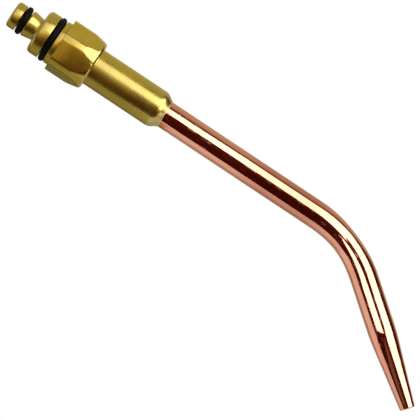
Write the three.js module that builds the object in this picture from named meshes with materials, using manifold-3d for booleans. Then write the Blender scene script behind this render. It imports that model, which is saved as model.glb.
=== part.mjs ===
// Bent oxy-fuel torch tip: a brass mixer head with two O-rings, a union nut, a brass stem and a
// swaged copper tube. Millimetres. The origin is the centre of the nose's end face, which seats in
// the torch handle. +X runs along the nut and the stem towards the flame, +Z is up, and the tube
// bends down in the XZ plane.
import * as THREE from "three";
import { mergeVertices } from "three/addons/utils/BufferGeometryUtils.js";
import Module from "manifold-3d";

// ---- Driving dimensions ----
const TUBE_RADIUS = 3.97; // 5/16 in tube
const TUBE_BORE_RADIUS = 2.32;
const STEM_RADIUS = 5.555; // 7/16 in bar
const HEX_ACROSS_FLATS = 14.8; // 15 mm wrench, at the low end of its tolerance
const NUT_BLANK_RADIUS = 8.05; // round bar, of which strips are left between the milled flats
const O_RING_RADIUS = 0.89; // 1/16 in nominal section, 1.78 mm
const BEND_ANGLE = THREE.MathUtils.degToRad(38.1);
const BEND_RADIUS = 34.2;
const NUT_CLOCK = THREE.MathUtils.degToRad(10.6); // how far the nut is turned from having a flat face -Y

// Stations along the straight axis, from the nose's end face
const NOSE_GROOVE_START = 2.7;
const NECK_START = 4.95;
const FLANGE_START = 8.65;
const FLANGE_GROOVE_START = 12.3;
const LAND_START = 14.4;
const LAND_END = 15.9;
const NUT_START = 16.2;
const NUT_END = 27.1;
const STEM_ROUNDING_START = 47.9;
const STEM_END = 50.8;
const BEND_START = 101.7;

// Lengths along the bent tube
const LEG_LENGTH = 38.5; // from the end of the bend to the flame outlet
const SWAGE_START = 14.6; // into the leg
const SWAGE_SHOULDER_RADIUS = 55;
const SWAGE_HALF_ANGLE = THREE.MathUtils.degToRad(4.8);
const TIP_ROUNDING = 0.35;
const OUTLET_RADIUS = 0.8;
const OUTLET_DEPTH = 5; // the fine bore behind the outlet
const BEND_FLATTENING = 0.06; // share of the tube's height lost in the middle of the bend
const BEND_WIDENING = 0.3; // share of that loss that the tube gains in width

// Head
const NOSE_RADIUS = 3.94;
const NOSE_ROUNDING = 0.85;
const NOSE_GROOVE_RADIUS = 2.52;
const NECK_FRONT_RADIUS = 3.93;
const NECK_REAR_RADIUS = 3.42;
const NECK_TAPER = 10.2; // degrees to the axis
const NECK_EDGE = 0.35;
const NECK_FILLET = 0.45;
const FLANGE_RADIUS = 6.65;
const FLANGE_ROUNDING = 1.2;
const FLANGE_GROOVE_RADIUS = 5.14;
const LAND_RADIUS = 6.7;
const EDGE_BREAK = 0.1;
const JET_SEAT_RADIUS = 1.55;
const JET_STOP_START = 6.4; // a step that the jet is pressed against
const JET_STOP_RADIUS = 1.0;
const CHAMBER_START = 7.5;
const CHAMBER_RADIUS = 2.0;
const FUEL_PORT_COUNT = 4;
const FUEL_PORT_RADIUS = 0.45;
const FUEL_PORT_MOUTH = 5.7; // from the axis, where the drill starts
const FUEL_PORT_END = [9.9, 1.2]; // station and distance from the axis, inside the chamber

// Jet and throat, as stations and radii
const JET_START = 0.9;
const JET_END = 6.1;
const JET_HOLE_START = 3.4;
const JET_HOLE_RADIUS = 0.35;
const JET_INLET_RADIUS = 1.0;
const THROAT_START = 10.7;
const THROAT_NARROW_START = 12.2;
const THROAT_NARROW_END = 13.2;
const THROAT_END = 18.9;
const THROAT_RADIUS = 0.75;
const THROAT_MOUTH_RADIUS = 1.5;
const PRESS_CLEARANCE = 0.12;

// O-rings, as their outside radii when they lie in their grooves
const NOSE_O_RING_OUTSIDE = 4.3;
const FLANGE_O_RING_OUTSIDE = 6.93;

// Union: thread, collar and seat. The thread's crests pass each other by THREAD_CLEARANCE.
const THREAD_PITCH = 1.06; // 24 per inch
const THREAD_DEPTH = 0.3;
const THREAD_CRESTS = 4;
const MALE_CREST_RADIUS = 6.12;
const THREAD_CLEARANCE = 0.28;
const THREAD_RELIEF = 0.9; // plain spigot behind the land
const COLLAR_RADIUS = 6.12;
const COLLAR_START = 21.9;
const COLLAR_END = 23.9;
const SLIP_RING_START = 24.2;
const SLIP_RING_END = 25.0;
const NUT_SHOULDER = 25.3;
const NUT_BORE_RADIUS = 5.78;
const NUT_CONE_START = 22.8;
const NUT_CONE_SLOPE = Math.tan(THREE.MathUtils.degToRad(9.7));
const NUT_REAR_ROUNDING = 0.4;
const SEAT_START = 19.2;
const SEAT_END = 21.6;
const SEAT_SLOPE = Math.tan(Math.PI / 6);

// Fits and mesh fineness
const TUBE_SOCKET_START = 36.0;
const TUBE_SOCKET_RADIUS = 4.13;
const STEM_BORE_END = 27; // the stem's bore opens from its seat to the tube's bore
const STEM_BORE_START = 24;
const STEM_MOUTH_RADIUS = 1.6;
const BRAZE_GAP = 0.15;
const BRAZE_LENGTH = 0.3;
const STEM_ROUNDING = 3.2;
const STEM_ROUNDING_ANGLE = 36; // degrees to the axis, where the rounding runs out
const GAP = 0.3;
const ROUND_SEGMENTS = 36;
const TUBE_SEGMENTS = 28;
const BORE_SEGMENTS = 24;
const NUT_SEGMENTS = 60;
const PORT_SEGMENTS = 10;
const BEND_STEPS = 12;
const NUT_BAR_OVERHANG = 1; // how far the hexagon cut reaches past each end of the nut

// ---- Materials ----
function material(color, roughness, metalness) {
  return new THREE.MeshStandardMaterial({ color, roughness, metalness });
}
const brass = () => material(0xb5953c, 0.32, 1);
const copper = () => material(0xc9805f, 0.2, 1);
const rubber = () => material(0x101012, 0.55, 0);
const brazeAlloy = () => material(0xc9a860, 0.4, 1);

// ---- Geometry helpers ----
// A profile is a closed list of [x, r] points, run with the material on its right, so that its
// faces point out.
function turned(profile, segments = ROUND_SEGMENTS) {
  const points = [...profile, profile[0]].map(([x, r]) => new THREE.Vector2(r, x));
  const geometry = new THREE.LatheGeometry(points, segments);
  geometry.rotateZ(-Math.PI / 2);
  return geometry;
}

// Points on an arc in the profile plane, centred at (x, r), from angle a to angle b in degrees,
// where 0 is +X.
function arc(x, r, radius, a, b, steps) {
  const points = [];
  for (let i = 0; i <= steps; i++) {
    const t = THREE.MathUtils.degToRad(a + ((b - a) * i) / steps);
    points.push([x + radius * Math.cos(t), r + radius * Math.sin(t)]);
  }
  return points;
}

// Crests and roots of a thread as rings. bulge is +1 outside a spigot and -1 inside a nut.
function threadRings(start, radius, bulge) {
  const points = [];
  for (let i = 0; i < THREAD_CRESTS; i++) {
    const x = start + i * THREAD_PITCH;
    points.push([x, radius - bulge * THREAD_DEPTH]);
    points.push([x + 0.4 * THREAD_PITCH, radius]);
    points.push([x + 0.6 * THREAD_PITCH, radius]);
  }
  points.push([start + THREAD_CRESTS * THREAD_PITCH, radius - bulge * THREAD_DEPTH]);
  return points;
}

const wasm = await Module();
wasm.setup();

function solid(geometry) {
  const bare = geometry.clone();
  bare.deleteAttribute("normal");
  bare.deleteAttribute("uv");
  const merged = mergeVertices(bare, 1e-4);
  const vertProperties = merged.attributes.position.array;
  const triVerts = new Uint32Array(merged.index.array);
  return new wasm.Manifold(new wasm.Mesh({ numProp: 3, vertProperties, triVerts }));
}

function geometryOf(manifold) {
  const mesh = manifold.getMesh();
  const geometry = new THREE.BufferGeometry();
  geometry.setAttribute("position", new THREE.BufferAttribute(mesh.vertProperties, 3));
  geometry.setIndex(new THREE.BufferAttribute(mesh.triVerts, 1));
  geometry.computeVertexNormals();
  return geometry;
}

function part(name, geometry, surface) {
  const mesh = new THREE.Mesh(geometry, surface);
  mesh.name = name;
  return mesh;
}

// ---- Mixer head ----
function headProfile() {
  const seatFront = CHAMBER_RADIUS + GAP;
  const seatRear = seatFront + (SEAT_END - SEAT_START) * SEAT_SLOPE;
  const neckEdge = [NECK_START + NECK_EDGE, NECK_FRONT_RADIUS - NECK_EDGE];
  const neckFillet = [FLANGE_START - NECK_FILLET, NECK_REAR_RADIUS + NECK_FILLET];
  return [
    [0, JET_SEAT_RADIUS + GAP],
    ...arc(NOSE_ROUNDING, NOSE_RADIUS - NOSE_ROUNDING, NOSE_ROUNDING, 180, 90, 4),
    [NOSE_GROOVE_START - EDGE_BREAK, NOSE_RADIUS],
    [NOSE_GROOVE_START, NOSE_RADIUS - EDGE_BREAK],
    [NOSE_GROOVE_START, NOSE_GROOVE_RADIUS],
    [NECK_START, NOSE_GROOVE_RADIUS],
    ...arc(...neckEdge, NECK_EDGE, 180, 90 - NECK_TAPER, 2),
    ...arc(...neckFillet, NECK_FILLET, 270 - NECK_TAPER, 360, 2),
    ...arc(FLANGE_START + FLANGE_ROUNDING, FLANGE_RADIUS - FLANGE_ROUNDING, FLANGE_ROUNDING, 180, 90, 4),
    [FLANGE_GROOVE_START - EDGE_BREAK, FLANGE_RADIUS],
    [FLANGE_GROOVE_START, FLANGE_RADIUS - EDGE_BREAK],
    [FLANGE_GROOVE_START, FLANGE_GROOVE_RADIUS],
    [LAND_START, FLANGE_GROOVE_RADIUS],
    [LAND_START, LAND_RADIUS - 2 * EDGE_BREAK],
    [LAND_START + 2 * EDGE_BREAK, LAND_RADIUS - EDGE_BREAK],
    [LAND_END - EDGE_BREAK, LAND_RADIUS],
    [LAND_END, LAND_RADIUS - EDGE_BREAK],
    [LAND_END, MALE_CREST_RADIUS - THREAD_DEPTH],
    ...threadRings(LAND_END + THREAD_RELIEF, MALE_CREST_RADIUS, 1),
    [SEAT_END, MALE_CREST_RADIUS - 2 * THREAD_DEPTH],
    [SEAT_END, seatRear],
    [SEAT_START, seatFront],
    [SEAT_START, CHAMBER_RADIUS],
    [CHAMBER_START, CHAMBER_RADIUS],
    [CHAMBER_START - 4 * EDGE_BREAK, JET_STOP_RADIUS],
    [JET_STOP_START, JET_STOP_RADIUS],
    [JET_STOP_START, JET_SEAT_RADIUS],
    [GAP, JET_SEAT_RADIUS],
  ];
}

// Fuel gas enters through holes drilled from the flange's front face down into the mixing chamber.
function fuelPort(angle) {
  const mouth = new THREE.Vector3(FLANGE_START - 2 * FUEL_PORT_RADIUS, FUEL_PORT_MOUTH, 0);
  const end = new THREE.Vector3(...FUEL_PORT_END, 0);
  const along = end.clone().sub(mouth);
  const radius = FUEL_PORT_RADIUS;
  const drill = new THREE.CylinderGeometry(radius, radius, along.length(), PORT_SEGMENTS);
  const direction = along.clone().normalize();
  const turn = new THREE.Quaternion().setFromUnitVectors(new THREE.Vector3(0, 1, 0), direction);
  drill.applyQuaternion(turn);
  const middle = mouth.add(end).multiplyScalar(0.5);
  drill.translate(middle.x, middle.y, middle.z);
  drill.rotateX(angle);
  return drill;
}

function mixerHead() {
  let body = solid(turned(headProfile()));
  for (let i = 0; i < FUEL_PORT_COUNT; i++) {
    const angle = ((i + 0.5) * 2 * Math.PI) / FUEL_PORT_COUNT;
    body = body.subtract(solid(fuelPort(angle)));
  }
  return part("mixer_head", geometryOf(body), brass());
}

// The jet is pressed into the nose: a wide inlet cone, then a fine hole.
function oxygenJet() {
  const outside = JET_SEAT_RADIUS - PRESS_CLEARANCE;
  const profile = [
    [JET_START, outside - 2 * EDGE_BREAK],
    [JET_START + 2 * EDGE_BREAK, outside],
    [JET_END, outside],
    [JET_END, JET_HOLE_RADIUS],
    [JET_HOLE_START, JET_HOLE_RADIUS],
    [JET_START, JET_INLET_RADIUS],
  ];
  return part("oxygen_jet", turned(profile, BORE_SEGMENTS), brass());
}

// The throat narrows behind the jet and widens again towards the stem.
function mixingThroat() {
  const outside = CHAMBER_RADIUS - PRESS_CLEARANCE;
  const profile = [
    [THROAT_START, outside],
    [THROAT_END, outside],
    [THROAT_END, THROAT_MOUTH_RADIUS],
    [THROAT_NARROW_END, THROAT_RADIUS],
    [THROAT_NARROW_START, THROAT_RADIUS],
    [THROAT_START, THROAT_MOUTH_RADIUS],
  ];
  return part("mixing_throat", turned(profile, BORE_SEGMENTS), brass());
}

// An O-ring lies in its groove with its outside at the given radius.
function oRing(name, x, outerRadius) {
  const circle = arc(x, outerRadius - O_RING_RADIUS, O_RING_RADIUS, 360, 30, 11);
  return part(name, turned(circle), rubber());
}

// ---- Union nut ----
function nutProfile() {
  const femaleCrest = MALE_CREST_RADIUS + THREAD_CLEARANCE;
  const threadStart = NUT_START + 0.5 * THREAD_PITCH;
  const coneEnd = NUT_BLANK_RADIUS - (NUT_END - NUT_REAR_ROUNDING - NUT_CONE_START) * NUT_CONE_SLOPE;
  return [
    [NUT_START, NUT_BLANK_RADIUS - EDGE_BREAK],
    [NUT_START + EDGE_BREAK, NUT_BLANK_RADIUS],
    [NUT_CONE_START, NUT_BLANK_RADIUS],
    ...arc(NUT_END - NUT_REAR_ROUNDING, coneEnd - NUT_REAR_ROUNDING, NUT_REAR_ROUNDING, 80, 0, 2),
    [NUT_END, NUT_BORE_RADIUS + 2 * EDGE_BREAK],
    [NUT_END - 2 * EDGE_BREAK, NUT_BORE_RADIUS],
    [NUT_SHOULDER, NUT_BORE_RADIUS],
    [NUT_SHOULDER, femaleCrest],
    ...threadRings(threadStart, femaleCrest, -1).reverse(),
    [NUT_START, femaleCrest + THREAD_DEPTH + EDGE_BREAK],
  ];
}

function couplingNut() {
  const hexagon = new THREE.Shape();
  const cornerRadius = HEX_ACROSS_FLATS / 2 / Math.cos(Math.PI / 6);
  const corners = [];
  for (let i = 0; i < 6; i++) {
    const angle = (i * Math.PI) / 3;
    corners.push(new THREE.Vector2(cornerRadius * Math.cos(angle), cornerRadius * Math.sin(angle)));
  }
  hexagon.setFromPoints(corners);
  const depth = NUT_END - NUT_START + 2 * NUT_BAR_OVERHANG;
  const bar = new THREE.ExtrudeGeometry(hexagon, { depth, bevelEnabled: false });
  bar.rotateY(Math.PI / 2);
  bar.translate(NUT_START - NUT_BAR_OVERHANG, 0, 0);
  const body = solid(turned(nutProfile(), NUT_SEGMENTS)).intersect(solid(bar));
  const mesh = part("coupling_nut", geometryOf(body), brass());
  mesh.rotation.x = NUT_CLOCK;
  return mesh;
}

function slipRing() {
  const profile = [
    [SLIP_RING_START, NUT_BORE_RADIUS],
    [SLIP_RING_START, COLLAR_RADIUS],
    [SLIP_RING_END, COLLAR_RADIUS],
    [SLIP_RING_END, NUT_BORE_RADIUS],
  ];
  return part("slip_ring", turned(profile), brass());
}

// ---- Stem ----
// Its cone seats in the head, the nut pulls on its collar, and the tube is brazed into its socket.
function stem() {
  const coneStart = SEAT_START + GAP;
  const coneRadius = CHAMBER_RADIUS + GAP * SEAT_SLOPE;
  const coneEnd = coneRadius + (COLLAR_START - coneStart) * SEAT_SLOPE;
  const roundingEnd = 90 - STEM_ROUNDING_ANGLE;
  const roundingCentre = STEM_RADIUS - STEM_ROUNDING;
  const rounding = arc(STEM_ROUNDING_START, roundingCentre, STEM_ROUNDING, 90, roundingEnd, 4);
  const profile = [
    [coneStart, STEM_MOUTH_RADIUS],
    [coneStart, coneRadius],
    [COLLAR_START, coneEnd],
    [COLLAR_START, COLLAR_RADIUS - 2 * EDGE_BREAK],
    [COLLAR_START + 2 * EDGE_BREAK, COLLAR_RADIUS],
    [COLLAR_END, COLLAR_RADIUS],
    [COLLAR_END, STEM_RADIUS],
    ...rounding,
    [STEM_END - EDGE_BREAK, TUBE_SOCKET_RADIUS + 1.5 * EDGE_BREAK],
    [STEM_END, TUBE_SOCKET_RADIUS + EDGE_BREAK],
    [STEM_END, TUBE_SOCKET_RADIUS],
    [TUBE_SOCKET_START, TUBE_SOCKET_RADIUS],
    [TUBE_SOCKET_START, TUBE_BORE_RADIUS],
    [STEM_BORE_END, TUBE_BORE_RADIUS],
    [STEM_BORE_START, STEM_MOUTH_RADIUS],
  ];
  return part("stem", turned(profile), brass());
}

function brazeFillet() {
  const start = STEM_END + BRAZE_GAP;
  const inside = TUBE_RADIUS + PRESS_CLEARANCE;
  const profile = [
    [start, inside],
    [start, TUBE_SOCKET_RADIUS + BRAZE_GAP],
    [start + 0.3 * BRAZE_LENGTH, TUBE_SOCKET_RADIUS + 0.4 * BRAZE_GAP],
    [start + BRAZE_LENGTH, inside + 0.2 * BRAZE_GAP],
    [start + BRAZE_LENGTH, inside],
  ];
  return part("braze_fillet", turned(profile), brazeAlloy());
}

// ---- Copper tube ----
// It is drawn and swaged straight, as a turned shape, and then bent about the bend's centre.
const BEND_LENGTH = BEND_RADIUS * BEND_ANGLE;
const TUBE_START = TUBE_SOCKET_START + GAP;
const LEG_START = BEND_START + BEND_LENGTH;
const TUBE_END = LEG_START + LEG_LENGTH;

function bendStations(radius) {
  const points = [];
  for (let i = 0; i <= BEND_STEPS; i++) {
    points.push([BEND_START + (BEND_LENGTH * i) / BEND_STEPS, radius]);
  }
  return points;
}

function tubeProfile() {
  const shoulderStart = LEG_START + SWAGE_START;
  const halfAngle = THREE.MathUtils.radToDeg(SWAGE_HALF_ANGLE);
  const shoulderCentre = TUBE_RADIUS - SWAGE_SHOULDER_RADIUS;
  const shoulder = arc(shoulderStart, shoulderCentre, SWAGE_SHOULDER_RADIUS, 90, 90 - halfAngle, 4);
  const [taperStart, taperRadius] = shoulder[shoulder.length - 1];
  const tipCentre = TUBE_END - TIP_ROUNDING;
  const tipRadius = taperRadius - (tipCentre - taperStart) * Math.tan(SWAGE_HALF_ANGLE);
  return [
    [TUBE_START, TUBE_BORE_RADIUS],
    [TUBE_START, TUBE_RADIUS],
    ...bendStations(TUBE_RADIUS),
    ...shoulder,
    ...arc(tipCentre, tipRadius - TIP_ROUNDING, TIP_ROUNDING, 84, 0, 3),
    [TUBE_END, OUTLET_RADIUS + EDGE_BREAK],
    [TUBE_END - EDGE_BREAK, OUTLET_RADIUS],
    [TUBE_END - OUTLET_DEPTH, OUTLET_RADIUS],
    [shoulderStart, TUBE_BORE_RADIUS],
    ...bendStations(TUBE_BORE_RADIUS).reverse(),
  ];
}

// The tube flattens a little in the plane of the bend, most in its middle.
function bent(geometry) {
  const position = geometry.attributes.position;
  for (let i = 0; i < position.count; i++) {
    const s = position.getX(i);
    const share = THREE.MathUtils.clamp((s - BEND_START) / BEND_LENGTH, 0, 1);
    const flattening = BEND_FLATTENING * Math.sin(Math.PI * share) ** 2;
    const z = position.getZ(i) * (1 - flattening);
    const angle = share * BEND_ANGLE;
    const straight = s < BEND_START ? s - BEND_START : Math.max(0, s - LEG_START);
    const x = BEND_START + (BEND_RADIUS + z) * Math.sin(angle) + straight * Math.cos(angle);
    const height = (BEND_RADIUS + z) * Math.cos(angle) - BEND_RADIUS - straight * Math.sin(angle);
    position.setX(i, x);
    position.setY(i, position.getY(i) * (1 + BEND_WIDENING * flattening));
    position.setZ(i, height);
  }
  geometry.computeVertexNormals();
  return geometry;
}

function copperTube() {
  return part("copper_tube", bent(turned(tubeProfile(), TUBE_SEGMENTS)), copper());
}

// ---- Assembly ----
const head = new THREE.Group();
head.add(mixerHead(), oxygenJet(), mixingThroat());
head.add(oRing("nose_o_ring", (NOSE_GROOVE_START + NECK_START) / 2, NOSE_O_RING_OUTSIDE));
head.add(oRing("flange_o_ring", (FLANGE_GROOVE_START + LAND_START) / 2, FLANGE_O_RING_OUTSIDE));

const tubeAndStem = new THREE.Group();
tubeAndStem.add(stem(), brazeFillet(), copperTube());

const torchTip = new THREE.Group();
torchTip.add(head, tubeAndStem, slipRing(), couplingNut());

export default torchTip;
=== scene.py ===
"""Looks of the bent torch tip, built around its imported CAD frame."""

import math

import bpy
from mathutils import Matrix, Vector, noise


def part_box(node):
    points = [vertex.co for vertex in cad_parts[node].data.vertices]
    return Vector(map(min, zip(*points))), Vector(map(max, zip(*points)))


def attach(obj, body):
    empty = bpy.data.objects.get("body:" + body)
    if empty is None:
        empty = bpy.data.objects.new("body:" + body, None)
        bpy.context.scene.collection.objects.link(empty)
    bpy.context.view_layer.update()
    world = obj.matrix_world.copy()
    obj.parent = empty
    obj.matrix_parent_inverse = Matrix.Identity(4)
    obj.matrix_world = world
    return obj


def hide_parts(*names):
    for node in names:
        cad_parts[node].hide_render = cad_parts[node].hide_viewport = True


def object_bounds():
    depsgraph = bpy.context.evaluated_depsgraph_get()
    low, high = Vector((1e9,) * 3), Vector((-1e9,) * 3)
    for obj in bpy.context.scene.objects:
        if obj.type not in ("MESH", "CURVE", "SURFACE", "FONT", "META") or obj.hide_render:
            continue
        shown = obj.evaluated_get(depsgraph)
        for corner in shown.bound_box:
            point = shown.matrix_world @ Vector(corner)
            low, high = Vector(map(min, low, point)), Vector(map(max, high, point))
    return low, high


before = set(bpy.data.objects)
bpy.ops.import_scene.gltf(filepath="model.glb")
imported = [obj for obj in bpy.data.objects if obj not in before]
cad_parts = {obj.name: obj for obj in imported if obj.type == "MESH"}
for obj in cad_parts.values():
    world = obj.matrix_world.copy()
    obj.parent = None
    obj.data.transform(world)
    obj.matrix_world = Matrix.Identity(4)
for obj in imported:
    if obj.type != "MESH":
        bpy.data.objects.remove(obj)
cad_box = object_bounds()

MM = 0.001
TAU = 2 * math.pi

# ---- Places taken from the frame ----
head_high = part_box("mixer_head")[1]
nose_ring_low, nose_ring_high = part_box("nose_o_ring")
flange_ring_low, flange_ring_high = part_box("flange_o_ring")
nut_low, nut_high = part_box("coupling_nut")
slip_low, slip_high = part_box("slip_ring")
stem_low, stem_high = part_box("stem")
braze_low, braze_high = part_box("braze_fillet")
tube_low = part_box("copper_tube")[0]
jet_low, jet_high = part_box("oxygen_jet")
throat_low, throat_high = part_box("mixing_throat")

# ---- Driving dimensions, as in the CAD model ----
TUBE_RADIUS = 3.97 * MM
TUBE_BORE = 2.32 * MM
OUTLET_RADIUS = 0.8 * MM
STEM_RADIUS = 5.555 * MM
HEX_FLAT = 7.4 * MM  # from the axis to a flat
NUT_BLANK = 8.05 * MM  # radius of the round blank that the flats are milled on
NUT_CLOCK = math.radians(10.6)
BEND_START = 101.7 * MM
BEND_RADIUS = 34.2 * MM
BEND_ANGLE = math.radians(38.1)
LEG_LENGTH = 38.5 * MM
SWAGE_START = 14.6 * MM
SWAGE_SHOULDER = 55 * MM
SWAGE_ANGLE = math.radians(4.8)
THREAD_PITCH = 1.06 * MM
THREAD_DEPTH = 0.3 * MM

ROUND = 160  # columns round a turned piece


# ---- Mesh helpers ----
def mesh_object(name, vertices, faces, sharp_degrees=35):
    mesh = bpy.data.meshes.new(name)
    mesh.from_pydata(vertices, [], faces)
    mesh.validate()
    mesh.polygons.foreach_set("use_smooth", [True] * len(mesh.polygons))
    mesh.set_sharp_from_angle(angle=math.radians(sharp_degrees))
    piece = bpy.data.objects.new(name, mesh)
    bpy.context.scene.collection.objects.link(piece)
    return piece


def shell(name, columns, place=None):
    """A closed skin round the X axis. Each column is (angle, [(x, r), ...]), all with as many points."""
    count = len(columns[0][1])
    vertices = []
    for angle, outline in columns:
        for x, r in outline:
            point = Vector((x, r * math.cos(angle), r * math.sin(angle)))
            vertices.append(place(point) if place else point)
    faces = []
    for i in range(len(columns)):
        a = i * count
        b = (i + 1) % len(columns) * count
        for k in range(count):
            n = (k + 1) % count
            faces.append((a + k, b + k, b + n, a + n))
    return mesh_object(name, vertices, faces)


def turned(name, outline, columns=ROUND, place=None):
    return shell(name, [(TAU * i / columns, outline) for i in range(columns)], place)


def arc(x, r, radius, start, end, steps=6):
    """Points of an arc about (x, r), from angle start to angle end in degrees, where 0 is +X."""
    angles = [math.radians(start + (end - start) * i / steps) for i in range(steps + 1)]
    return [(x + radius * math.cos(t), r + radius * math.sin(t)) for t in angles]


def stations(x0, x1, r0, r1, count):
    """Points on a straight line of the outline, the first one left out."""
    return [(x0 + (x1 - x0) * i / count, r0 + (r1 - r0) * i / count) for i in range(1, count + 1)]


def keep(piece, body, node, material):
    """The piece stands for a CAD node, rides with its body and takes its finish."""
    piece.data.materials.append(material)
    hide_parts(node)
    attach(piece, body)
    return piece


# ---- Materials ----
def new_material(name):
    material = bpy.data.materials.new(name)
    material.use_nodes = True
    tree = material.node_tree
    return material, tree.nodes, tree.links, tree.nodes["Principled BSDF"]


def noise_node(nodes, links, vector, scale, stretch, detail=4, roughness=0.6):
    """Noise over a stretched copy of the coordinates."""
    mapping = nodes.new("ShaderNodeMapping")
    mapping.inputs["Scale"].default_value = stretch
    links.new(vector, mapping.inputs["Vector"])
    texture = nodes.new("ShaderNodeTexNoise")
    texture.inputs["Scale"].default_value = scale
    texture.inputs["Detail"].default_value = detail
    texture.inputs["Roughness"].default_value = roughness
    links.new(mapping.outputs["Vector"], texture.inputs["Vector"])
    return texture.outputs["Fac"]


def ramp_node(nodes, links, factor, stops):
    """A colour ramp with stops of (position, colour)."""
    ramp = nodes.new("ShaderNodeValToRGB")
    elements = ramp.color_ramp.elements
    while len(elements) < len(stops):
        elements.new(0.5)
    for element, (position, colour) in zip(elements, stops):
        element.position = position
        element.color = (*colour, 1)
    links.new(factor, ramp.inputs["Fac"])
    return ramp.outputs["Color"]


def range_node(nodes, links, value, low, high, start=0.3, end=0.7):
    """Spreads a value of start to end over low to high. Noise lies mostly within 0.3 to 0.7."""
    spread = nodes.new("ShaderNodeMapRange")
    spread.inputs["From Min"].default_value = start
    spread.inputs["From Max"].default_value = end
    spread.inputs["To Min"].default_value = low
    spread.inputs["To Max"].default_value = high
    links.new(value, spread.inputs["Value"])
    return spread.outputs["Result"]


def bump_node(nodes, links, height, strength, distance, normal=None):
    bump = nodes.new("ShaderNodeBump")
    bump.inputs["Strength"].default_value = strength
    bump.inputs["Distance"].default_value = distance
    links.new(height, bump.inputs["Height"])
    if normal is not None:
        links.new(normal, bump.inputs["Normal"])
    return bump.outputs["Normal"]


def object_coordinates(nodes):
    return nodes.new("ShaderNodeTexCoord").outputs["Object"]


def lacquer(shader):
    """The thin clear coat on the brass, which pales its highlights."""
    shader.inputs["Coat Weight"].default_value = 1
    shader.inputs["Coat IOR"].default_value = 1.85
    shader.inputs["Coat Roughness"].default_value = 0.2


def turned_brass():
    """Bar brass off the lathe: fine rings of tool marks, a few tarnished clouds."""
    material, nodes, links, shader = new_material("turned_brass")
    place = object_coordinates(nodes)
    clouds = noise_node(nodes, links, place, 260, (1, 1, 1), 5)
    tint = ramp_node(nodes, links, clouds, [(0.3, (0.50, 0.36, 0.03)), (0.7, (0.58, 0.43, 0.05))])
    links.new(tint, shader.inputs["Base Color"])
    rings = noise_node(nodes, links, place, 6000, (1, 0.004, 0.004), 2)
    links.new(range_node(nodes, links, clouds, 0.24, 0.31), shader.inputs["Roughness"])
    links.new(bump_node(nodes, links, rings, 0.25, 0.00001), shader.inputs["Normal"])
    shader.inputs["Metallic"].default_value = 1
    lacquer(shader)
    return material


def milled_brass():
    """Brass with milled flats: faint lines along them, and a few tarnished clouds."""
    material, nodes, links, shader = new_material("milled_brass")
    place = object_coordinates(nodes)
    clouds = noise_node(nodes, links, place, 420, (1, 1, 1), 6)
    tint = ramp_node(nodes, links, clouds, [(0.3, (0.58, 0.41, 0.03)), (0.7, (0.66, 0.48, 0.05))])
    links.new(tint, shader.inputs["Base Color"])
    milled = noise_node(nodes, links, place, 4000, (0.02, 1, 1), 3)
    links.new(range_node(nodes, links, clouds, 0.19, 0.26), shader.inputs["Roughness"])
    links.new(bump_node(nodes, links, milled, 0.2, 0.00001), shader.inputs["Normal"])
    shader.inputs["Metallic"].default_value = 1
    lacquer(shader)
    return material


def darken_near_bend(nodes, links, place, tint):
    """Darkens a colour a little over a stretch of tube that runs up to just inside the bend."""
    split = nodes.new("ShaderNodeSeparateXYZ")
    links.new(place, split.inputs["Vector"])
    stretch = range_node(nodes, links, split.outputs["X"], 0, 1, BEND_START - 26 * MM, BEND_START + 6 * MM)
    plain = (1, 1, 1)
    warm = (0.80, 0.73, 0.72)
    tone = ramp_node(nodes, links, stretch, [(0, plain), (0.3, warm), (0.75, warm), (1, plain)])
    mix = nodes.new("ShaderNodeMix")
    mix.data_type = "RGBA"
    mix.blend_type = "MULTIPLY"
    mix.inputs["Factor"].default_value = 1
    links.new(tint, mix.inputs["A"])
    links.new(tone, mix.inputs["B"])
    return mix.outputs["Result"]


def polished_copper():
    """Polished drawn tube: faint lines along it, shallow waves left by the polishing, and duller flecks."""
    material, nodes, links, shader = new_material("polished_copper")
    attribute = nodes.new("ShaderNodeAttribute")
    attribute.attribute_name = "before_bending"
    place = attribute.outputs["Vector"]
    clouds = noise_node(nodes, links, place, 160, (0.6, 1, 1), 5)
    tint = ramp_node(nodes, links, clouds, [(0.3, (0.88, 0.38, 0.24)), (0.7, (0.94, 0.44, 0.29))])
    links.new(darken_near_bend(nodes, links, place, tint), shader.inputs["Base Color"])
    waves = noise_node(nodes, links, place, 500, (0.25, 1, 1), 3)
    drawn = noise_node(nodes, links, place, 5000, (0.01, 1, 1), 2)
    normal = bump_node(nodes, links, waves, 0.4, 0.00004)
    links.new(bump_node(nodes, links, drawn, 0.12, 0.00001, normal), shader.inputs["Normal"])
    flecks = noise_node(nodes, links, place, 1100, (0.3, 1, 1), 3)
    links.new(range_node(nodes, links, flecks, 0.06, 0.26, 0.52, 0.72), shader.inputs["Roughness"])
    shader.inputs["Metallic"].default_value = 1
    return material


def braze_alloy():
    material, nodes, links, shader = new_material("braze_alloy")
    place = object_coordinates(nodes)
    flow = noise_node(nodes, links, place, 900, (1, 1, 1), 4)
    tint = ramp_node(nodes, links, flow, [(0.3, (0.74, 0.52, 0.22)), (0.7, (0.88, 0.70, 0.38))])
    links.new(tint, shader.inputs["Base Color"])
    links.new(range_node(nodes, links, flow, 0.3, 0.5), shader.inputs["Roughness"])
    links.new(bump_node(nodes, links, flow, 0.4, 0.00005), shader.inputs["Normal"])
    shader.inputs["Metallic"].default_value = 1
    return material


def black_rubber():
    material, nodes, links, shader = new_material("black_rubber")
    place = object_coordinates(nodes)
    grain = noise_node(nodes, links, place, 2500, (1, 1, 1), 5)
    tint = ramp_node(nodes, links, grain, [(0.3, (0.001, 0.001, 0.001)), (0.7, (0.004, 0.004, 0.004))])
    links.new(tint, shader.inputs["Base Color"])
    links.new(range_node(nodes, links, grain, 0.42, 0.58), shader.inputs["Roughness"])
    links.new(bump_node(nodes, links, grain, 0.25, 0.00003), shader.inputs["Normal"])
    shader.inputs["Specular IOR Level"].default_value = 0.08
    return material


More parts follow.
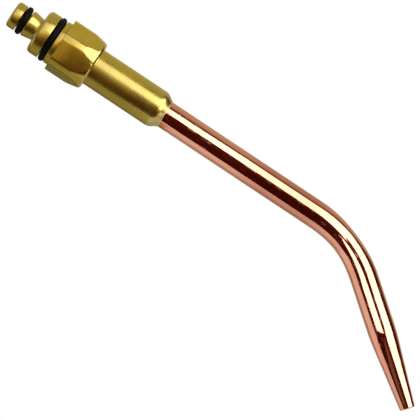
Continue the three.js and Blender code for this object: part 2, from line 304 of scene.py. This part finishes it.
# ---- Mixer head ----
NOSE_GROOVE = 2.52 * MM
NOSE_RADIUS = 3.94 * MM
NECK_FRONT = 3.93 * MM
NECK_REAR = 3.42 * MM
NECK_TAPER = 10.2  # degrees to the axis
FLANGE_FACE = 8.65 * MM
FLANGE_RADIUS = 6.65 * MM
LAND_RADIUS = 6.7 * MM
LAND_END = 15.9 * MM
FLANGE_GROOVE = 5.14 * MM
MALE_CREST = 6.12 * MM
THREAD_CLEARANCE = 0.28 * MM
NUT_BORE = 5.78 * MM
JET_SEAT = 1.55 * MM
CHAMBER = 2.0 * MM
SEAT_START = 19.2 * MM
FUEL_PORTS = 4
FUEL_PORT_RADIUS = 0.45 * MM
FUEL_PORT_MOUTH = 5.7 * MM  # from the axis, where the drill starts
FUEL_PORT_END = (9.9 * MM, 1.2 * MM)  # place along the axis and distance from it, inside the chamber


def thread_radius(x, angle, start, turns, crest, bulge):
    """Radius of a helical thread, whose crest fades out at both ends. bulge is +1 outside, -1 inside."""
    along = (x - start) / THREAD_PITCH
    phase = (along - angle / TAU) % 1
    ridge = max(0, min(1, 1.7 - abs(phase - 0.5) * 5))
    fade = max(0, min(1, along * 2, (turns - along) * 2))
    return crest - bulge * THREAD_DEPTH * (1 - ridge * fade)


def thread_outline(angle, start, turns, crest, bulge):
    steps = int(turns * 14)
    xs = [start + turns * THREAD_PITCH * i / steps for i in range(steps + 1)]
    return [(x, thread_radius(x, angle, start, turns, crest, bulge)) for x in xs]


def head_outline(angle):
    seat_end = head_high.x
    seat_slope = math.tan(math.pi / 6)
    seat_front = CHAMBER + 0.3 * MM
    nose_groove_start = 2.7 * MM
    nose_groove_end = 4.95 * MM
    flange_groove_start = 12.3 * MM
    flange_groove_end = 14.4 * MM
    chamber_start = 7.5 * MM
    jet_stop = 6.4 * MM
    jet_stop_radius = JET_SEAT - 0.55 * MM
    nose_edge = 0.85 * MM
    neck_edge = 0.35 * MM
    neck_fillet = 0.45 * MM
    flange_edge = 1.2 * MM
    break_edge = 0.1 * MM
    land_edge = 0.12 * MM
    neck_front = arc(nose_groove_end + neck_edge, NECK_FRONT - neck_edge, neck_edge,
                     180, 90 - NECK_TAPER)
    neck_rear = arc(FLANGE_FACE - neck_fillet, NECK_REAR + neck_fillet, neck_fillet,
                    270 - NECK_TAPER, 360)
    return [
        (0.0, JET_SEAT + 0.3 * MM),
        *arc(nose_edge, NOSE_RADIUS - nose_edge, nose_edge, 180, 90, 10),
        *arc(nose_groove_start - break_edge, NOSE_RADIUS - break_edge, break_edge, 90, 0, 4),
        (nose_groove_start, NOSE_GROOVE + break_edge),
        *arc(nose_groove_start + break_edge, NOSE_GROOVE + break_edge, break_edge, 180, 270, 3),
        *arc(nose_groove_end - break_edge, NOSE_GROOVE + break_edge, break_edge, 270, 360, 3),
        *neck_front,
        *stations(neck_front[-1][0], neck_rear[0][0], neck_front[-1][1], neck_rear[0][1], 8)[:-1],
        *neck_rear,
        *arc(FLANGE_FACE + flange_edge, FLANGE_RADIUS - flange_edge, flange_edge, 180, 90, 12),
        *arc(flange_groove_start - break_edge, FLANGE_RADIUS - break_edge, break_edge, 90, 0, 4),
        *arc(flange_groove_start + break_edge, FLANGE_GROOVE + break_edge, break_edge, 180, 270, 3),
        *arc(flange_groove_end - break_edge, FLANGE_GROOVE + break_edge, break_edge, 270, 360, 3),
        *arc(flange_groove_end + 0.15 * MM, LAND_RADIUS - 0.22 * MM, 0.15 * MM, 180, 94, 4),
        *arc(LAND_END - land_edge, LAND_RADIUS - land_edge, land_edge, 94, 0, 4),
        (LAND_END, MALE_CREST - THREAD_DEPTH),
        *thread_outline(angle, LAND_END + 0.5 * MM, 4.7, MALE_CREST, 1),
        (seat_end - 0.1 * MM, MALE_CREST - 1.5 * THREAD_DEPTH),
        (seat_end, MALE_CREST - 2 * THREAD_DEPTH),
        (seat_end, seat_front + (seat_end - SEAT_START) * seat_slope),
        (SEAT_START, seat_front),
        (SEAT_START, CHAMBER),
        (chamber_start, CHAMBER),
        (chamber_start - 0.4 * MM, jet_stop_radius),
        (jet_stop, jet_stop_radius),
        (jet_stop, JET_SEAT),
        (0.3 * MM, JET_SEAT),
    ]


def drill_ports(piece):
    """Fuel holes, drilled from the flange's front face down into the mixing chamber."""
    mouth = Vector((FLANGE_FACE - 0.8 * MM, FUEL_PORT_MOUTH, 0))
    end = Vector((*FUEL_PORT_END, 0))
    along = end - mouth
    turn = along.to_track_quat("Z", "X").to_matrix()
    vertices = []
    faces = []
    sides = 20
    for i in range(FUEL_PORTS):
        angle = (i + 0.5) * TAU / FUEL_PORTS
        start = len(vertices)
        for t in (0, 1):
            for k in range(sides):
                rim = Vector((math.cos(TAU * k / sides), math.sin(TAU * k / sides), 0)) * FUEL_PORT_RADIUS
                point = mouth + along * t + turn @ rim
                y = point.y * math.cos(angle) - point.z * math.sin(angle)
                z = point.y * math.sin(angle) + point.z * math.cos(angle)
                vertices.append((point.x, y, z))
        faces += [(start + k, start + (k + 1) % sides, start + sides + (k + 1) % sides, start + sides + k)
                  for k in range(sides)]
        faces.append(tuple(start + k for k in reversed(range(sides))))
        faces.append(tuple(start + sides + k for k in range(sides)))
    drill = mesh_object("drill", vertices, faces)
    cut = piece.modifiers.new("ports", "BOOLEAN")
    cut.operation = "DIFFERENCE"
    cut.solver = "EXACT"
    cut.object = drill
    made = bpy.data.meshes.new_from_object(piece.evaluated_get(bpy.context.evaluated_depsgraph_get()))
    piece.modifiers.clear()
    piece.data = made
    made.set_sharp_from_angle(angle=math.radians(35))
    bpy.data.objects.remove(drill)


def build_head(brass):
    columns = [(TAU * i / ROUND, head_outline(TAU * i / ROUND)) for i in range(ROUND)]
    head = shell("mixer_head_turned", columns)
    drill_ports(head)
    keep(head, "head", "mixer_head", brass)

    jet_radius = jet_high.y
    jet_hole = 0.35 * MM
    jet_hole_start = 3.4 * MM
    jet = turned("oxygen_jet_pressed", [
        (jet_low.x, jet_radius - 0.25 * MM), (jet_low.x + 0.2 * MM, jet_radius), (jet_high.x, jet_radius),
        (jet_high.x, jet_hole), (jet_hole_start, jet_hole), (2.6 * MM, 0.9 * MM), (jet_low.x, 1.0 * MM),
    ], 48)
    keep(jet, "head", "oxygen_jet", brass)

    throat_radius = throat_high.y
    narrow = 0.75 * MM
    throat = turned("mixing_throat_venturi", [
        (throat_low.x, throat_radius), (throat_high.x, throat_radius), (throat_high.x, 1.45 * MM),
        (13.2 * MM, narrow), (12.2 * MM, narrow), (throat_low.x, 1.5 * MM),
    ], 48)
    keep(throat, "head", "mixing_throat", brass)


# ---- O-rings ----
def build_o_ring(name, node, low, high, lean, rubber):
    """A ring in its groove, leaning a little."""
    section = (high.x - low.x) / 2
    middle = (high.x + low.x) / 2
    centre = high.y - section
    lean = math.tan(math.radians(lean))
    outline = []
    for k in range(40):
        t = TAU * k / 40
        outline.append((middle - section * math.cos(t), centre + section * math.sin(t)))

    def tilt(point):
        return Vector((point.x - point.z * lean, point.y, point.z))

    keep(turned(name, outline, place=tilt), "head", node, rubber)


# ---- Union nut ----
def nut_section(flat_steps=14, land_steps=6):
    """(angle, distance) round the nut: six milled flats, and strips of the round blank between them."""
    half_flat = math.acos(HEX_FLAT / NUT_BLANK)
    half_land = math.pi / 6 - half_flat
    section = []
    for side in range(6):
        middle = side * math.pi / 3
        for k in range(flat_steps + 1):
            along = math.tan(half_flat) * (2 * k / flat_steps - 1)
            angle = math.atan(along)
            section.append((middle + angle, HEX_FLAT / math.cos(angle)))
        for k in range(1, land_steps):
            section.append((middle + half_flat + half_land * 2 * k / land_steps, NUT_BLANK))
    return section


def nut_outline(angle, reach):
    """Outline of the nut where its side is at distance reach from the axis."""
    start = nut_low.x - 0.26 * MM
    end = nut_high.x
    slope = math.tan(math.radians(9.7))
    cone_start = 22.8 * MM
    cone_x = cone_start + (NUT_BLANK - reach) / slope
    cone_end = NUT_BLANK - (end - cone_start) * slope
    crest = MALE_CREST + THREAD_CLEARANCE
    rear_edge = 0.25 * MM
    blunt = 0.05 * MM
    shoulder = 25.3 * MM
    edge = 0.12 * MM
    corner = 0.4 * MM
    front = [(start, crest + THREAD_DEPTH + 0.1 * MM), (start, reach - edge)]
    front += arc(start + edge, reach - edge, edge, 135, 90, 2)
    side = [(cone_x - 0.06 * MM, reach), (cone_x + 0.06 * MM, reach - 0.06 * MM * slope)]
    rear = [(end - corner, cone_end), (end - blunt, cone_end - corner), (end, cone_end - corner - blunt)]
    rear += [(end, NUT_BORE + rear_edge), (end - rear_edge, NUT_BORE), (shoulder, NUT_BORE)]
    rear.append((shoulder, crest))
    thread = thread_outline(angle, start + 0.5 * MM, 4.5, crest, -1)
    return front + side + rear + thread[::-1]


def build_nut(brass):
    columns = [(angle + NUT_CLOCK, nut_outline(angle, reach)) for angle, reach in nut_section()]
    nut = shell("coupling_nut_milled", columns)
    keep(nut, "nut", "coupling_nut", brass)


def build_slip_ring(brass):
    outer = slip_high.y
    inner = NUT_BORE
    edge = 0.08 * MM
    outline = [
        (slip_low.x, inner + edge), *arc(slip_low.x + edge, outer - edge, edge, 180, 90, 3),
        *arc(slip_high.x - edge, outer - edge, edge, 90, 0, 3), (slip_high.x, inner + edge),
        (slip_high.x - edge, inner), (slip_low.x + edge, inner),
    ]
    keep(turned("slip_ring_turned", outline), "nut_guide", "slip_ring", brass)


# ---- Stem ----
def build_stem(brass, braze):
    seat_slope = math.tan(math.pi / 6)
    cone_start = stem_low.x
    cone_radius = CHAMBER + 0.3 * MM * seat_slope
    collar_start = 21.9 * MM
    collar_end = 23.9 * MM
    collar = 6.12 * MM
    socket = 4.13 * MM
    socket_start = 36.0 * MM
    mouth = 1.6 * MM
    end = stem_high.x
    rounding = 3.2 * MM
    rounding_start = 47.9 * MM
    edge = 0.12 * MM
    outline = [
        (cone_start, mouth),
        (cone_start, cone_radius - 0.1 * MM),
        (cone_start + 0.1 * MM, cone_radius),
        (collar_start, cone_radius + (collar_start - cone_start) * seat_slope),
        *arc(collar_start + edge, collar - edge, edge, 180, 90, 3),
        *arc(collar_end - edge, collar - edge, edge, 90, 0, 3),
        (collar_end, STEM_RADIUS),
        *stations(collar_end, rounding_start, STEM_RADIUS, STEM_RADIUS, 12),
        *arc(rounding_start, STEM_RADIUS - rounding, rounding, 90, 54, 10)[1:],
        (end - 0.1 * MM, socket + 0.15 * MM),
        (end, socket + 0.08 * MM),
        (end, socket),
        (socket_start, socket),
        (socket_start, TUBE_BORE),
        (27 * MM, TUBE_BORE),
        (24 * MM, mouth),
    ]
    keep(turned("stem_turned", outline), "tube", "stem", brass)

    inside = TUBE_RADIUS + 0.03 * MM
    start = braze_low.x - 0.1 * MM
    columns = []
    for i in range(ROUND):
        angle = TAU * i / ROUND
        wander = noise.noise(Vector((math.cos(angle), math.sin(angle), 0.3)) * 3)
        foot = braze_high.x + (0.06 * wander - 0.06) * MM
        top = socket + 0.12 * MM
        columns.append((angle, [
            (start, inside), (start, top), (start + 0.1 * MM, top - 0.04 * MM),
            (start + 0.2 * MM, inside + 0.07 * MM), (foot, inside),
        ]))
    keep(shell("braze_ring_flowed", columns), "tube", "braze_fillet", braze)


# ---- Copper tube ----
BEND_LENGTH = BEND_RADIUS * BEND_ANGLE
LEG_START = BEND_START + BEND_LENGTH
TUBE_END = LEG_START + LEG_LENGTH
FLATTENING = 0.06  # the tube's share of lost height in the middle of the bend


def bend_point(point):
    """Carries a point of the straight tube to its place on the bent one."""
    s = point.x
    into = min(max((s - BEND_START) / BEND_LENGTH, 0), 1)
    angle = into * BEND_ANGLE
    flat = 1 - FLATTENING * math.sin(math.pi * into) ** 2
    z = point.z * flat
    y = point.y * (1 + 0.3 * (1 - flat))
    along = s - BEND_START if s < BEND_START else max(0, s - LEG_START)
    x = BEND_START + (BEND_RADIUS + z) * math.sin(angle) + along * math.cos(angle)
    height = (BEND_RADIUS + z) * math.cos(angle) - BEND_RADIUS - along * math.sin(angle)
    return Vector((x, y, height))


def swage_profile():
    """The tube's outside from the end of the bend to the outlet, and the radius where it ends."""
    shoulder = arc(LEG_START + SWAGE_START, TUBE_RADIUS - SWAGE_SHOULDER, SWAGE_SHOULDER,
                   90, 90 - math.degrees(SWAGE_ANGLE), 14)
    x, r = shoulder[-1]
    edge = 0.35 * MM
    end_radius = r - (TUBE_END - edge - x) * math.tan(SWAGE_ANGLE)
    taper = stations(x, TUBE_END - edge, r, end_radius, 30)
    return shoulder + taper + arc(TUBE_END - edge, end_radius - edge, edge, 84, 0, 6)


def build_tube(copper):
    start = tube_low.x
    outline = [
        (start, TUBE_BORE),
        (start, TUBE_RADIUS - 0.1 * MM),
        (start + 0.1 * MM, TUBE_RADIUS),
        *stations(start + 0.1 * MM, BEND_START, TUBE_RADIUS, TUBE_RADIUS, 90),
        *stations(BEND_START, LEG_START, TUBE_RADIUS, TUBE_RADIUS, 60),
        *stations(LEG_START, LEG_START + SWAGE_START, TUBE_RADIUS, TUBE_RADIUS, 20),
        *swage_profile()[1:],
        (TUBE_END, OUTLET_RADIUS + 0.12 * MM),
        (TUBE_END - 0.12 * MM, OUTLET_RADIUS),
        (TUBE_END - 5 * MM, OUTLET_RADIUS),
        (LEG_START + SWAGE_START, TUBE_BORE),
        *stations(LEG_START, BEND_START, TUBE_BORE, TUBE_BORE, 30),
    ]
    columns = [(TAU * i / ROUND, outline) for i in range(ROUND)]
    tube = shell("copper_tube_swaged", columns, bend_point)
    before = tube.data.attributes.new("before_bending", "FLOAT_VECTOR", "POINT")
    values = []
    for angle, points in columns:
        for x, r in points:
            values += [x, r * math.cos(angle), r * math.sin(angle)]
    before.data.foreach_set("vector", values)
    keep(tube, "tube", "copper_tube", copper)


# ---- Stage ----
VIEW_ROLL = math.radians(33.6)  # the stem slopes down this much in the picture
VIEW_DISTANCE = 1.5
LENS = 460
FRONT = Vector((0, -1, 0))


def facing(side, up):
    """Euler angles of a camera or light whose right is side and whose top is up."""
    return Matrix((side, up, side.cross(up))).transposed().to_euler()


def build_camera():
    low, high = cad_box
    right = Vector((math.cos(VIEW_ROLL), 0, math.sin(VIEW_ROLL)))
    up = Vector((-math.sin(VIEW_ROLL), 0, math.cos(VIEW_ROLL)))
    aim = (low + high) / 2 + Vector((-0.77 * MM, 0, -3.03 * MM))
    data = bpy.data.cameras.new("camera")
    data.lens = LENS
    data.clip_end = 20
    camera = bpy.data.objects.new("camera", data)
    bpy.context.scene.collection.objects.link(camera)
    camera.rotation_euler = facing(right, up)
    camera.location = aim + FRONT * VIEW_DISTANCE
    bpy.context.scene.camera = camera


def area_light(name, place, side, up, size, radiance):
    """A soft panel of the given size along side and up. It doesn't show in the picture."""
    data = bpy.data.lights.new(name, "AREA")
    data.shape = "RECTANGLE"
    data.size, data.size_y = size
    data.energy = math.pi * size[0] * size[1] * radiance
    panel = bpy.data.objects.new(name, data)
    bpy.context.scene.collection.objects.link(panel)
    panel.location = place
    panel.rotation_euler = facing(side, up)
    panel.visible_camera = False


KEY_ANGLE = math.radians(46.5)  # the key light's height over the camera's level
KEY_OUT = Vector((0, -math.cos(KEY_ANGLE), math.sin(KEY_ANGLE)))
KEY_UP = Vector((0, math.sin(KEY_ANGLE), math.cos(KEY_ANGLE)))
KEY_REACH = 0.32
KEY_RADIANCE = 3.2


def on_key_plane(x, w):
    """A place on the plane of the front panels, at x along the part and w up from its middle line."""
    return Vector((x, 0, 0)) + KEY_OUT * KEY_REACH + KEY_UP * w


def stage_sheet(name, corners, material):
    """A flat sheet outside the picture, which shows in reflections only and throws no shadow."""
    sheet = mesh_object(name, corners, [tuple(range(len(corners)))])
    sheet.data.materials.append(material)
    sheet.visible_camera = False
    sheet.visible_shadow = False


def glow_material(name, radiance):
    """Black but for its glow, whose colour is set by the caller."""
    material, nodes, links, shader = new_material(name)
    shader.inputs["Base Color"].default_value = (0, 0, 0, 1)
    shader.inputs["Emission Strength"].default_value = radiance
    return material, nodes, links, shader


def bright_panel(name, corners, radiance, colour=(1, 1, 1)):
    """A glowing panel of any outline, which also lights the part."""
    material, _, _, shader = glow_material(name, radiance)
    shader.inputs["Emission Color"].default_value = (*colour, 1)
    stage_sheet(name, corners, material)


def build_lights():
    """Broad panels in front and above: three for the brass, and one for the tube that widens at the bend."""
    along = Vector((1, 0, 0))

    def front_panel(name, x0, x1, w0, w1, radiance):
        centre = on_key_plane((x0 + x1) / 2, (w0 + w1) / 2)
        area_light(name, centre, along, KEY_UP, (x1 - x0, w1 - w0), radiance)

    front_panel("nose_key", -0.2, 0, -0.3, 0.05, 0.88)
    front_panel("head_key", 0, 0.02, -0.3, 0.05, 1.6)
    front_panel("stem_key", 0.02, 0.045, -0.2, 0.095, 1.5)
    outline = [
        (0.045, -0.174), (0.1, -0.174), (0.113, -0.205), (0.15, -0.205), (0.177, -0.065),
        (0.246, -0.13), (0.29, -0.27), (0.8, -0.27), (0.8, 0.22), (0.4, 0.22),
        (0.263, 0.3), (0.126, 0.135), (0.078, 0.118), (0.045, 0.05),
    ]
    bright_panel("tube_key", [on_key_plane(x, w) for x, w in outline], KEY_RADIANCE)


def card_material(name, colours):
    """Matt card, mottled between two colours."""
    material, nodes, links, shader = new_material(name)
    grain = noise_node(nodes, links, object_coordinates(nodes), 30, (1, 1, 1))
    tint = ramp_node(nodes, links, grain, [(0.3, colours[0]), (0.7, colours[1])])
    links.new(tint, shader.inputs["Base Color"])
    shader.inputs["Roughness"].default_value = 0.85
    shader.inputs["Specular IOR Level"].default_value = 0
    return material


def build_floor():
    """A pale table well below the part. A faint glow keeps it pale, as no light is aimed at it."""
    z = cad_box[0].z - 0.3
    floor = mesh_object("floor", [(-2, -2, z), (2, -2, z), (2, 2, z), (-2, 2, z)], [(0, 1, 2, 3)])
    pale = card_material("pale_floor", [(0.84, 0.84, 0.84), (0.88, 0.88, 0.88)])
    shader = pale.node_tree.nodes["Principled BSDF"]
    shader.inputs["Emission Color"].default_value = (0.93, 0.94, 1, 1)
    shader.inputs["Emission Strength"].default_value = 0.36
    floor.data.materials.append(pale)


def strip_corners(x0, x1, near, far):
    """Corners of a strip along X between two edges, each given as (y, z)."""
    return [(x0, *near), (x0, *far), (x1, *far), (x1, *near)]


def build_card(name, x0, x1, near, far, colours):
    stage_sheet(name, strip_corners(x0, x1, near, far), card_material(name, colours))


def build_cards():
    """Cards and dim panels below, behind and above the part, for the tones that the metal mirrors."""
    dark = [(0.044, 0.006, 0.003), (0.056, 0.008, 0.004)]
    brown = [(0.40, 0.36, 0.16), (0.44, 0.40, 0.18)]
    dull = [(0.20, 0.19, 0.10), (0.22, 0.21, 0.11)]
    pale = [(0.56, 0.55, 0.54), (0.60, 0.59, 0.58)]
    build_card("dark_card_low", -0.5, 0.035, (-0.125, -0.185), (-0.42, -0.06), dark)
    build_card("dark_card", 0.035, 0.8, (-0.105, -0.197), (-0.42, -0.06), dark)
    build_card("brown_card", -0.05, 0.052, (-0.036, -0.094), (0.055, -0.08), brown)
    build_card("brown_card_rear", -0.05, 0.052, (0.055, -0.08), (0.16, -0.04), dull)
    under = strip_corners(-0.1, 0.045, (-0.085, -0.19), (0.2, -0.19))
    bright_panel("under_panel", under, 0.8)
    strip = strip_corners(-0.5, 0.8, (-0.105, -0.197), (0.055, -0.2))
    bright_panel("under_strip", strip, 0.7)
    over = strip_corners(-0.05, 0.045, (-0.035, 0.1), (0.16, 0.04))
    bright_panel("over_panel", over, 1, (0.55, 0.48, 0.17))
    build_card("pale_card", -0.5, 0.8, (0.055, -0.2), (0.4, -0.1), pale)


def build_amber_panel(name, x0, x1, colours):
    """A dim amber panel close in front of the brass, with its colours from the bottom to the top."""
    low = -0.092
    high = 0.025
    material, nodes, links, shader = glow_material(name, 2)
    place = nodes.new("ShaderNodeSeparateXYZ")
    links.new(object_coordinates(nodes), place.inputs["Vector"])
    height = range_node(nodes, links, place.outputs["Z"], 0, 1, low, high)
    stops = list(zip((0, 0.4, 0.6, 0.8, 1), colours))
    links.new(ramp_node(nodes, links, height, stops), shader.inputs["Emission Color"])
    stage_sheet(name, strip_corners(x0, x1, (-0.035, low), (-0.1, high)), material)


def build_reflector():
    """A small bright card close in front of the leg, with a dim tail: the second streak on the copper."""
    outline = [(9.5, -1.5), (25.6, -6.8), (37.9, -16.3), (21, -33.5), (11, -25), (9.3, -8)]
    tail = [(37.5, -20.5), (42.5, -25), (51, -41), (41, -53), (34, -47), (36, -30)]
    bend = Vector((BEND_START, -0.03, 0))
    bright_panel("bright_card", [bend + Vector((x, 0, z)) * MM for x, z in outline], 3)
    bright_panel("bright_card_tail", [bend + Vector((x, 0, z)) * MM for x, z in tail],
                 0.17, (1, 0.5, 0.4))


def build_world():
    """White behind the part. Light and reflections get a room that darkens to the front and right."""
    world = bpy.data.worlds.new("studio")
    bpy.context.scene.world = world
    world.use_nodes = True
    nodes = world.node_tree.nodes
    links = world.node_tree.links
    direction = nodes.new("ShaderNodeTexCoord").outputs["Generated"]
    dot = nodes.new("ShaderNodeVectorMath")
    dot.operation = "DOT_PRODUCT"
    dot.inputs[1].default_value = (-3, 2, 0)
    links.new(direction, dot.inputs[0])
    room = nodes.new("ShaderNodeMapRange")
    room.interpolation_type = "SMOOTHSTEP"
    room.inputs["From Min"].default_value = -0.9
    room.inputs["From Max"].default_value = 0.35
    links.new(dot.outputs["Value"], room.inputs["Value"])
    tone = nodes.new("ShaderNodeMix")
    tone.data_type = "RGBA"
    tone.inputs["A"].default_value = (0.055, 0.018, 0.008, 1)
    tone.inputs["B"].default_value = (0.54, 0.50, 0.38, 1)
    links.new(room.outputs["Result"], tone.inputs["Factor"])
    path = nodes.new("ShaderNodeLightPath")
    mix = nodes.new("ShaderNodeMix")
    mix.data_type = "RGBA"
    mix.inputs["B"].default_value = (1, 1, 1, 1)
    links.new(path.outputs["Is Camera Ray"], mix.inputs["Factor"])
    links.new(tone.outputs["Result"], mix.inputs["A"])
    links.new(mix.outputs["Result"], nodes["Background"].inputs["Color"])


# Colours of the amber panels, from the bottom to the top
HEAD_AMBER = [
    (0.02, 0.008, 0.001), (0.045, 0.02, 0.002), (0.27, 0.18, 0.035),
    (0.6, 0.5, 0.2), (0.7, 0.64, 0.45),
]
NUT_AMBER = [
    (0.01, 0.004, 0.001), (0.03, 0.012, 0.001), (0.07, 0.035, 0.005),
    (0.2, 0.15, 0.05), (0.45, 0.4, 0.3),
]
STEM_AMBER = [
    (0.01, 0.004, 0.001), (0.03, 0.012, 0.001), (0.11, 0.06, 0.01),
    (0.26, 0.21, 0.09), (0.5, 0.46, 0.4),
]


def main():
    build_camera()
    view = bpy.context.scene.view_settings
    view.view_transform = "Standard"
    build_world()
    build_floor()
    build_cards()
    build_amber_panel("head_amber", -0.05, 0.009, HEAD_AMBER)
    build_amber_panel("nut_amber", 0.009, 0.028, NUT_AMBER)
    build_amber_panel("stem_amber", 0.028, 0.04, STEM_AMBER)
    build_reflector()
    build_lights()

    brass = turned_brass()
    rubber = black_rubber()
    build_head(brass)
    build_o_ring("nose_o_ring_moulded", "nose_o_ring", nose_ring_low, nose_ring_high, 1.4, rubber)
    build_o_ring("flange_o_ring_moulded", "flange_o_ring", flange_ring_low, flange_ring_high, 0.9, rubber)
    build_nut(milled_brass())
    build_slip_ring(brass)
    build_stem(brass, braze_alloy())
    build_tube(polished_copper())


main()
